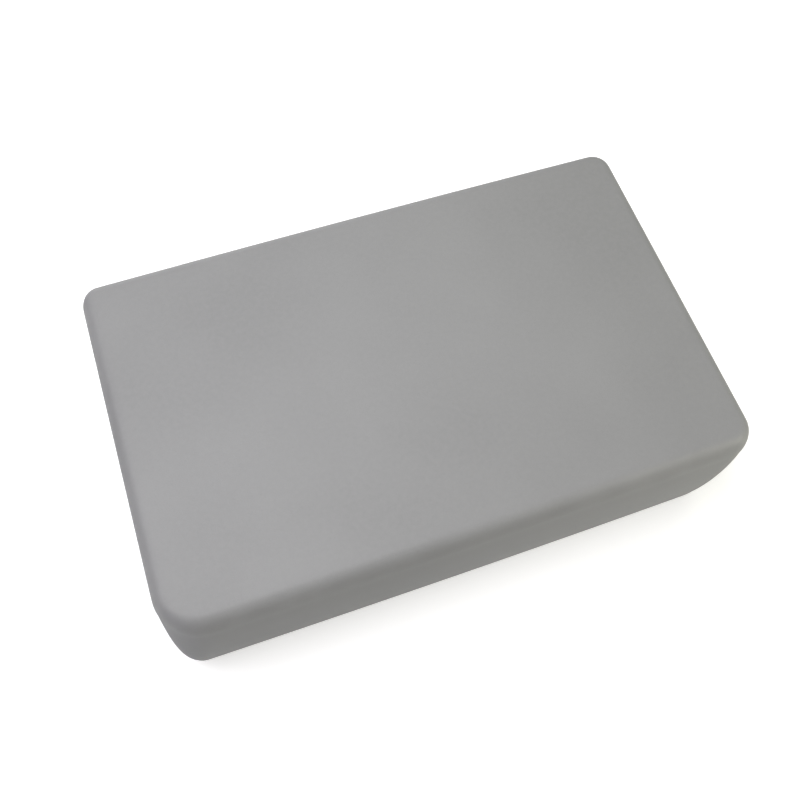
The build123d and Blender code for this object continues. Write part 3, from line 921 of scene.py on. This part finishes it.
def foam_skin(grow, bottom, top, round_top, round_bottom):
    """A block of foam, its edges rounded over at the top, the bottom or both."""
    low, high = box_mm("core_foam")
    half_x = high[0] + grow
    half_y = (high[1] - low[1]) / 2 + grow
    centre_y = (high[1] + low[1]) / 2
    turns = np.linspace(0, math.pi / 2, 6)
    over = [(FOAM_EDGE * (1 - math.sin(turn)), FOAM_EDGE * (1 - math.cos(turn))) for turn in turns]
    sharp = [(0.9, 0.0), (0.25, 0.25), (0.0, 0.9)]
    upper = over if round_top else sharp
    under = over if round_bottom else sharp
    levels = [(inset, top - down) for inset, down in upper]
    levels += [(0.0, z) for z in np.linspace(levels[-1][1], bottom + under[-1][1], 7)[1:-1]]
    levels += [(inset, bottom + up) for inset, up in under[::-1]]
    skin = Skin(FILLING_LATTICE)
    rings = []
    for inset, z in levels:
        outline = FILLING_LATTICE.outline(half_x - inset, half_y - inset, [FOAM_CORNER - inset] * 4)
        rings.append(skin.ring(raised(outline, z)))
    skin.bands(rings)
    skin.cap(rings[0], level(top))
    skin.cap(rings[-1], level(bottom), upwards=False)
    skin.points = [(x, y + centre_y, z) for x, y, z in skin.points]
    return skin


def foam_blocks():
    """The firm block and the softer one that lies on it."""
    core_low, core_high = box_mm("core_foam")
    soft_low, soft_high = box_mm("comfort_foam")
    core = foam_skin(0.0, core_low[2], core_high[2], False, True)
    soft = foam_skin(0.0, soft_low[2], soft_high[2], True, False)
    return (
        core.piece("core_block", "firm_foam", "core_foam"),
        soft.piece("comfort_block", "soft_foam", "comfort_foam"),
    )


# ---------------------------------------------------------------- materials


class Paint:
    """A material under construction, with short calls for the nodes that the materials share."""

    def __init__(self, name):
        self.material = bpy.data.materials.new(name)
        self.material.use_nodes = True
        self.tree = self.material.node_tree
        self.shader = self.tree.nodes["Principled BSDF"]
        self.place = self.tree.nodes.new("ShaderNodeTexCoord").outputs["Object"]
        self.normal = None

    def node(self, kind, inputs=(), **settings):
        made = self.tree.nodes.new(kind)
        for key, value in settings.items():
            setattr(made, key, value)
        for key, value in dict(inputs).items():
            if isinstance(value, bpy.types.NodeSocket):
                self.tree.links.new(value, made.inputs[key])
            else:
                made.inputs[key].default_value = value
        return made

    def stretched(self, x, y, z):
        """The place on the piece, in metres, scaled along each axis."""
        return self.node("ShaderNodeMapping", {"Vector": self.place, "Scale": (x, y, z)}).outputs[0]

    def noise(self, scale, detail=2.0, place=None):
        inputs = {"Vector": place or self.place, "Scale": scale, "Detail": detail}
        return self.node("ShaderNodeTexNoise", inputs).outputs["Fac"]

    def cells(self, scale, feature="F1"):
        inputs = {"Vector": self.place, "Scale": scale}
        return self.node("ShaderNodeTexVoronoi", inputs, feature=feature).outputs["Distance"]

    def waves(self, scale, direction, distortion):
        inputs = {"Vector": self.place, "Scale": scale, "Distortion": distortion}
        return self.node("ShaderNodeTexWave", inputs, bands_direction=direction).outputs["Fac"]

    def span(self, value, low, high, start=0.0, end=1.0):
        inputs = {"Value": value, "From Min": start, "From Max": end, "To Min": low, "To Max": high}
        return self.node("ShaderNodeMapRange", inputs).outputs["Result"]

    def maths(self, operation, first, second):
        return self.node("ShaderNodeMath", {0: first, 1: second}, operation=operation).outputs[0]

    def mix(self, factor, first, second):
        made = self.node("ShaderNodeMix", data_type="RGBA")
        for key, value in ((0, factor), (6, first), (7, second)):
            if isinstance(value, bpy.types.NodeSocket):
                self.tree.links.new(value, made.inputs[key])
            else:
                made.inputs[key].default_value = value if key == 0 else (*value, 1.0)
        return made.outputs[2]

    def attribute(self, name):
        return self.node("ShaderNodeAttribute", attribute_name=name).outputs["Fac"]

    def colour(self, value):
        self.tree.links.new(value, self.shader.inputs["Base Color"])

    def roughness(self, value):
        self.tree.links.new(value, self.shader.inputs["Roughness"])

    def relief(self, height, depth, strength=1.0):
        """Adds bump of this depth, in metres, over any bump that is there."""
        inputs = {"Height": height, "Distance": depth, "Strength": strength}
        if self.normal is not None:
            inputs["Normal"] = self.normal
        self.normal = self.node("ShaderNodeBump", inputs).outputs["Normal"]
        self.tree.links.new(self.normal, self.shader.inputs["Normal"])

    def set(self, **values):
        for name, value in values.items():
            self.shader.inputs[name.replace("_", " ")].default_value = value


def cover_material():
    """Grey satin polyurethane on a knitted back: fine grain, its creases painted darker as shade, a little
    polish and wear on the edges.
    """
    paint = Paint("cover_vinyl")
    pores = paint.cells(1150.0, "DISTANCE_TO_EDGE")
    creases = paint.span(pores, 0.0, 1.0, 0.0, 0.16)
    clouds = paint.noise(7.0, 3.0)
    mottle = paint.noise(260.0, 2.0)
    edges = paint.attribute("wear")
    patches = paint.span(paint.noise(38.0, 4.0), 0.2, 1.0, 0.35, 0.7)
    wear = paint.maths("MULTIPLY", edges, patches)
    base = paint.mix(paint.span(clouds, 0.0, 1.0, 0.3, 0.7), COVER_DARK, COVER_LIGHT)
    base = paint.mix(paint.span(mottle, 0.0, 0.25, 0.35, 0.7), base, COVER_FLECK)
    # Painted shade: the grain's creases, which the bump also sinks, are painted darker.
    base = paint.mix(paint.span(creases, 0.22, 0.0), base, COVER_CREASE_SHADE)
    base = paint.mix(paint.maths("MULTIPLY", wear, 0.4), base, COVER_WORN)
    paint.colour(base)
    rough = paint.span(mottle, 0.5, 0.58)
    rough = paint.maths("SUBTRACT", rough, paint.maths("MULTIPLY", wear, 0.08))
    paint.roughness(rough)
    paint.relief(creases, 0.00004, 0.6)
    paint.relief(paint.noise(2600.0, 2.0), 0.00002, 0.5)
    paint.relief(paint.noise(55.0, 2.0), 0.00025, 0.25)
    paint.set(Specular_IOR_Level=0.4)
    return paint.material


def base_material():
    """The underside's matte coated cloth, with a fine woven emboss whose grooves are painted darker as shade.
    """
    paint = Paint("base_vinyl")
    warp = paint.waves(420.0, "X", 1.2)
    weft = paint.waves(420.0, "Y", 1.2)
    weave = paint.maths("MULTIPLY", warp, weft)
    clouds = paint.noise(11.0, 3.0)
    base = paint.mix(clouds, (0.20, 0.20, 0.205), (0.27, 0.27, 0.275))
    # Painted shade: the weave's low places, which the bump sinks, are painted darker.
    base = paint.mix(paint.span(weave, 0.3, 0.0), base, (0.12, 0.12, 0.125))
    paint.colour(base)
    paint.roughness(paint.span(paint.noise(90.0), 0.62, 0.8))
    paint.relief(weave, 0.00015, 0.7)
    paint.relief(paint.noise(60.0, 2.0), 0.0003, 0.3)
    return paint.material


def thread_material():
    """Bonded polyester thread: fine plies with a soft shine, their grooves painted darker and their ridges
    lighter as shade.
    """
    paint = Paint("thread")
    plies = paint.waves(900.0, "DIAGONAL", 2.0)
    fuzz = paint.noise(1800.0, 3.0)
    # Painted shade: the colour follows the plies' bump, darker in the grooves and lighter on the ridges.
    base = paint.mix(plies, (0.30, 0.30, 0.31), (0.48, 0.48, 0.49))
    paint.colour(paint.mix(paint.span(fuzz, 0.0, 0.3), base, (0.55, 0.55, 0.56)))
    paint.roughness(paint.span(fuzz, 0.45, 0.65))
    paint.relief(plies, 0.00008, 0.8)
    paint.set(Sheen_Weight=0.2)
    return paint.material


def woven_material(name, dark, light, across, along, depth):
    """A plain weave whose threads run along X and Z; across and along set how fine they are. Its colour
    follows its bump as painted shade: darker between threads, lighter on them.
    """
    paint = Paint(name)
    warp = paint.waves(across, "X", 0.8)
    weft = paint.waves(along, "Z", 0.8)
    weave = paint.maths("ADD", paint.maths("MULTIPLY", warp, 0.6), paint.maths("MULTIPLY", weft, 0.4))
    slubs = paint.noise(140.0, 3.0, paint.stretched(0.4, 1.0, 2.5))
    # Painted shade: darker between the threads, lighter on them; the slubs are the cloth's own darker tone.
    base = paint.mix(weave, dark, light)
    paint.colour(paint.mix(paint.span(slubs, 0.0, 0.45, 0.4, 0.75), base, dark))
    paint.roughness(paint.span(slubs, 0.67, 0.83))
    paint.relief(weave, depth, 0.8)
    paint.set(Sheen_Weight=0.15)
    return paint.material


def nylon_material():
    """The zip's coils: moulded-looking nylon wire, a little cloudy."""
    paint = Paint("zip_nylon")
    drawn = paint.noise(700.0, 2.0, paint.stretched(1.0, 3.0, 3.0))
    clouds = paint.noise(60.0, 2.0)
    paint.colour(paint.mix(clouds, (0.15, 0.15, 0.155), (0.22, 0.22, 0.225)))
    paint.roughness(paint.span(drawn, 0.28, 0.42))
    paint.relief(drawn, 0.00003, 0.5)
    paint.set(Subsurface_Weight=0.05, Subsurface_Scale=0.001)
    return paint.material


def metal_material():
    """The slider, pull and stops: gunmetal plate over a casting, rubbed with use."""
    paint = Paint("zip_metal")
    scratches = paint.noise(900.0, 4.0, paint.stretched(0.15, 1.0, 2.0))
    clouds = paint.noise(120.0, 3.0)
    base = paint.mix(clouds, (0.30, 0.30, 0.31), (0.42, 0.42, 0.43))
    paint.colour(paint.mix(paint.span(scratches, 0.0, 0.5, 0.55, 0.75), base, (0.62, 0.62, 0.62)))
    paint.roughness(paint.span(scratches, 0.22, 0.4))
    paint.relief(scratches, 0.00002, 0.4)
    paint.relief(clouds, 0.0001, 0.15)
    paint.set(Metallic=1.0)
    return paint.material


def label_material():
    """Satin ribbon: fine threads with a bright face, painted darker between the threads as shade."""
    paint = Paint("label_satin")
    threads = paint.waves(1500.0, "X", 0.5)
    clouds = paint.noise(90.0, 3.0)
    base = paint.mix(clouds, (0.70, 0.70, 0.68), (0.80, 0.80, 0.78))
    # Painted shade: darker in the grooves between the threads, which the bump sinks.
    paint.colour(paint.mix(paint.span(threads, 0.25, 0.0), base, (0.55, 0.55, 0.54)))
    paint.roughness(paint.span(clouds, 0.35, 0.48))
    paint.relief(threads, 0.00003, 0.6)
    paint.set(Sheen_Weight=0.3)
    return paint.material


def knit_material():
    """The liner: white rib knit, painted darker between its wales and courses as shade."""
    paint = Paint("liner_knit")
    wales = paint.waves(190.0, "X", 1.5)
    courses = paint.waves(260.0, "Z", 2.0)
    knit = paint.maths("MULTIPLY", paint.span(wales, 0.35, 1.0), paint.span(courses, 0.5, 1.0))
    # Painted shade: the knit's colour follows its bump, darker in the hollows between loops.
    base = paint.mix(knit, (0.55, 0.55, 0.54), (0.80, 0.80, 0.79))
    paint.colour(paint.mix(paint.span(paint.noise(20.0, 3.0), 0.0, 0.3), base, (0.68, 0.67, 0.64)))
    paint.roughness(paint.span(paint.noise(300.0), 0.8, 0.95))
    paint.relief(knit, 0.0003, 0.8)
    paint.set(Sheen_Weight=0.25)
    return paint.material


def wadding_material():
    """White polyester fibre, painted darker between fibres and lighter on its raised clumps as shade."""
    paint = Paint("wadding")
    fibres = paint.noise(220.0, 6.0, paint.stretched(1.0, 0.35, 2.2))
    clumps = paint.noise(30.0, 4.0)
    # Painted shade: the clumps, which the bump raises, are painted lighter where they stand up.
    base = paint.mix(clumps, (0.74, 0.74, 0.73), (0.86, 0.86, 0.85))
    # Painted shade: darker between the fibres, where the bump sinks.
    paint.colour(paint.mix(paint.span(fibres, 0.4, 0.0, 0.3, 0.6), base, (0.60, 0.60, 0.59)))
    paint.roughness(paint.span(fibres, 0.85, 1.0))
    paint.relief(fibres, 0.0006, 0.8)
    paint.relief(clumps, 0.002, 0.5)
    paint.set(Sheen_Weight=0.3)
    return paint.material


def foam_material(name, dark, light, scale):
    """Cut open-cell foam: round pits of several sizes, painted darker towards their bottoms as shade."""
    paint = Paint(name)
    pits = paint.cells(scale)
    small = paint.cells(scale * 2.7)
    depth = paint.maths("ADD", paint.maths("MULTIPLY", pits, 0.7), paint.maths("MULTIPLY", small, 0.3))
    # Painted shade: the pits, which the bump sinks, are painted darker towards their bottoms.
    base = paint.mix(paint.span(depth, 0.0, 1.0, 0.1, 0.6), dark, light)
    paint.colour(paint.mix(paint.span(paint.noise(9.0, 3.0), 0.0, 0.3), base, dark))
    paint.roughness(paint.span(small, 0.82, 0.98))
    paint.relief(depth, 0.0004, 0.7)
    return paint.material


COVER_DARK = (0.236, 0.236, 0.236)
COVER_LIGHT = (0.264, 0.264, 0.264)
COVER_FLECK = (0.285, 0.285, 0.285)
# The darker grey painted into the grain's creases as shade.
COVER_CREASE_SHADE = (0.18, 0.18, 0.18)
COVER_WORN = (0.33, 0.33, 0.33)


def coat(pieces, material):
    for piece in pieces:
        piece.data.materials.clear()
        piece.data.materials.append(material)


# ---------------------------------------------------------------- assembly

cover = cover_shell()
base = base_panel()
stitches = [window_stitches(), base_stitches(), bar_tacks()]
tapes = [zip_tape(1, "tape_upper", "zip_tape_upper"), zip_tape(-1, "tape_lower", "zip_tape_lower")]
coils = [zip_coil(1, "coil_upper", "zip_coil_upper"), zip_coil(-1, "coil_lower", "zip_coil_lower")]
metal = [
    rounded_copy("zip_slider", "slider", "slider_cast", 0.22),
    rounded_copy("zip_pull_tab", "pull", "pull_tab_cast", 0.25),
    rounded_copy("zip_top_stops", "pillow", "top_stops_crimped", 0.22),
    rounded_copy("zip_bottom_stop", "pillow", "bottom_stop_crimped", 0.22),
]
flap, flap_flat = guard_flap()
label, label_flat = care_label()
base_tape, base_tape_flat = seam_tape()
liner = inner_liner()
wadding = wadding_wrap()
core_block, comfort_block = foam_blocks()

coat([cover], cover_material())
coat([base], base_material())
coat(stitches, thread_material())
coat([base_tape], woven_material("seam_tape", (0.14, 0.14, 0.14), (0.24, 0.24, 0.24), 420, 420, 0.0001))
coat(tapes, woven_material("zip_tape", (0.13, 0.13, 0.135), (0.23, 0.23, 0.235), 520, 390, 0.0001))
coat(coils, nylon_material())
coat(metal, metal_material())
coat([flap], woven_material("flap_fabric", (0.18, 0.18, 0.185), (0.29, 0.29, 0.295), 480, 480, 0.00012))
coat([label], label_material())
coat([liner], knit_material())
coat([wadding], wadding_material())
coat([core_block], foam_material("firm_foam", (0.62, 0.59, 0.48), (0.80, 0.77, 0.66), 750.0))
coat([comfort_block], foam_material("soft_foam", (0.60, 0.63, 0.68), (0.78, 0.80, 0.84), 950.0))

# ---------------------------------------------------------------- floor, light and camera


def studio_profile():
    """Radius and height along the studio sweep: a flat disc whose rim curves up into a wall."""
    line = [(FLOOR_RADIUS * share, 0.0) for share in (0.1, 0.4, 0.7, 1.0)]
    for step in range(1, RIM_STEPS + 1):
        turn = math.pi / 2 * step / RIM_STEPS
        line.append((FLOOR_RADIUS + RIM_BEND * math.sin(turn), RIM_BEND * (1 - math.cos(turn))))
    line.append((FLOOR_RADIUS + RIM_BEND, STUDIO_HEIGHT))
    return line


def add_floor():
    """One pale sweep under and around the pillow, a little below the pillow's underside."""
    form = bmesh.new()
    previous = None
    for radius, height in studio_profile():
        ring = []
        for step in range(STUDIO_SIDES):
            turn = math.tau * step / STUDIO_SIDES
            ring.append(form.verts.new((radius * math.cos(turn), radius * math.sin(turn), height)))
        if previous is None:
            form.faces.new(ring)
        else:
            for step in range(STUDIO_SIDES):
                after = (step + 1) % STUDIO_SIDES
                form.faces.new((previous[step], ring[step], ring[after], previous[after]))
        previous = ring
    mesh = bpy.data.meshes.new("floor")
    form.to_mesh(mesh)
    form.free()
    mesh.shade_smooth()
    floor = add_object("floor", mesh)
    floor.location.z = -FLOOR_GAP
    floor.visible_diffuse = False  # so that a bright floor doesn't light the walls from below
    floor.visible_shadow = False  # so that its wall lets the dome's light in
    paint = Paint("floor")
    paint.colour(paint.mix(paint.noise(3.0), (0.86, 0.86, 0.86), (0.88, 0.88, 0.88)))
    paint.set(Roughness=0.9, Specular_IOR_Level=0.1, Emission_Strength=FLOOR_GLOW)
    paint.shader.inputs["Emission Color"].default_value = (1.0, 1.0, 1.0, 1.0)
    floor.data.materials.append(paint.material)


def add_light(name, bearing, height, distance, size, power, colour):
    """A square soft light that faces the pillow. Bearing is anticlockwise from +X; both angles in degrees."""
    data = bpy.data.lights.new(name, "AREA")
    data.shape = "SQUARE"
    data.size = size
    data.energy = power
    data.color = colour
    light = add_object(name, data)
    around, above = math.radians(bearing), math.radians(height)
    flat = math.cos(above)
    away = Vector((flat * math.cos(around), flat * math.sin(around), math.sin(above)))
    light.location = LIGHT_TARGET + away * distance
    light.rotation_euler = (-away).to_track_quat("-Z", "Y").to_euler()


def add_world(strength, low_share):
    """An even white dome overhead, which fades to a low share of its strength below the horizon."""
    world = bpy.data.worlds.new("studio")
    bpy.context.scene.world = world
    world.use_nodes = True
    tree = world.node_tree
    direction = tree.nodes.new("ShaderNodeTexCoord").outputs["Generated"]
    parts = tree.nodes.new("ShaderNodeSeparateXYZ")
    tree.links.new(direction, parts.inputs[0])
    fade = tree.nodes.new("ShaderNodeMapRange")
    limits = {"From Min": -0.1, "From Max": 0.0, "To Min": low_share * strength, "To Max": strength}
    for socket, value in limits.items():
        fade.inputs[socket].default_value = value
    tree.links.new(parts.outputs["Z"], fade.inputs["Value"])
    background = tree.nodes["Background"]
    background.inputs["Color"].default_value = (1.0, 1.0, 1.0, 1.0)
    tree.links.new(fade.outputs["Result"], background.inputs["Strength"])


def add_camera(place, aim, roll, lens):
    data = bpy.data.cameras.new("camera")
    data.lens = lens
    data.sensor_width = 36.0
    data.clip_start = 0.01
    camera = add_object("camera", data)
    camera.location = place
    look = (Vector(aim) - Vector(place)).to_track_quat("-Z", "Y")
    turn = Quaternion((0.0, 0.0, 1.0), math.radians(roll))
    camera.rotation_mode = "QUATERNION"
    camera.rotation_quaternion = look @ turn
    bpy.context.scene.camera = camera


# The studio sweep, in metres, and how much it glows.
FLOOR_GAP = 0.0003
FLOOR_RADIUS = 2.2
RIM_BEND = 0.9
RIM_STEPS = 10
STUDIO_HEIGHT = 3.0
STUDIO_SIDES = 72
FLOOR_GLOW = 0.45
LIGHT_TARGET = Vector((0.0, 0.0, 0.1))
# Name, bearing, height, distance, size, power and colour.
LIGHTS = (
    ("key", 150, 75, 0.9, 0.5, 4.7, (0.93, 0.945, 1.0)),
    ("high_front", 210, 75, 0.9, 0.6, 1.95, (1.0, 0.95, 0.93)),
    ("left", 180, 45, 1.2, 0.9, 3.4, (0.96, 0.92, 1.0)),
    ("back_right", 45, 50, 1.2, 0.9, 2.5, (0.97, 1.0, 0.8)),
    ("front_right", 315, 15, 1.2, 0.6, 4.6, (1.0, 0.97, 0.74)),
    ("front", 285, 20, 1.2, 0.7, 1.5, (0.8, 0.85, 1.0)),
    ("back", 95, 12, 1.2, 0.8, 3.0, (1.0, 1.0, 1.0)),
)
add_floor()
add_world(0.2, 0.1)
for light_values in LIGHTS:
    add_light(*light_values)
add_camera((-0.12132, -0.24784, 0.69204), (-0.01938, -0.02673, 0.13), 5.918, 38.175)

settings = bpy.context.scene.view_settings
settings.view_transform = "Standard"
settings.look = "None"
settings.exposure = 0.0
settings.gamma = 1.0
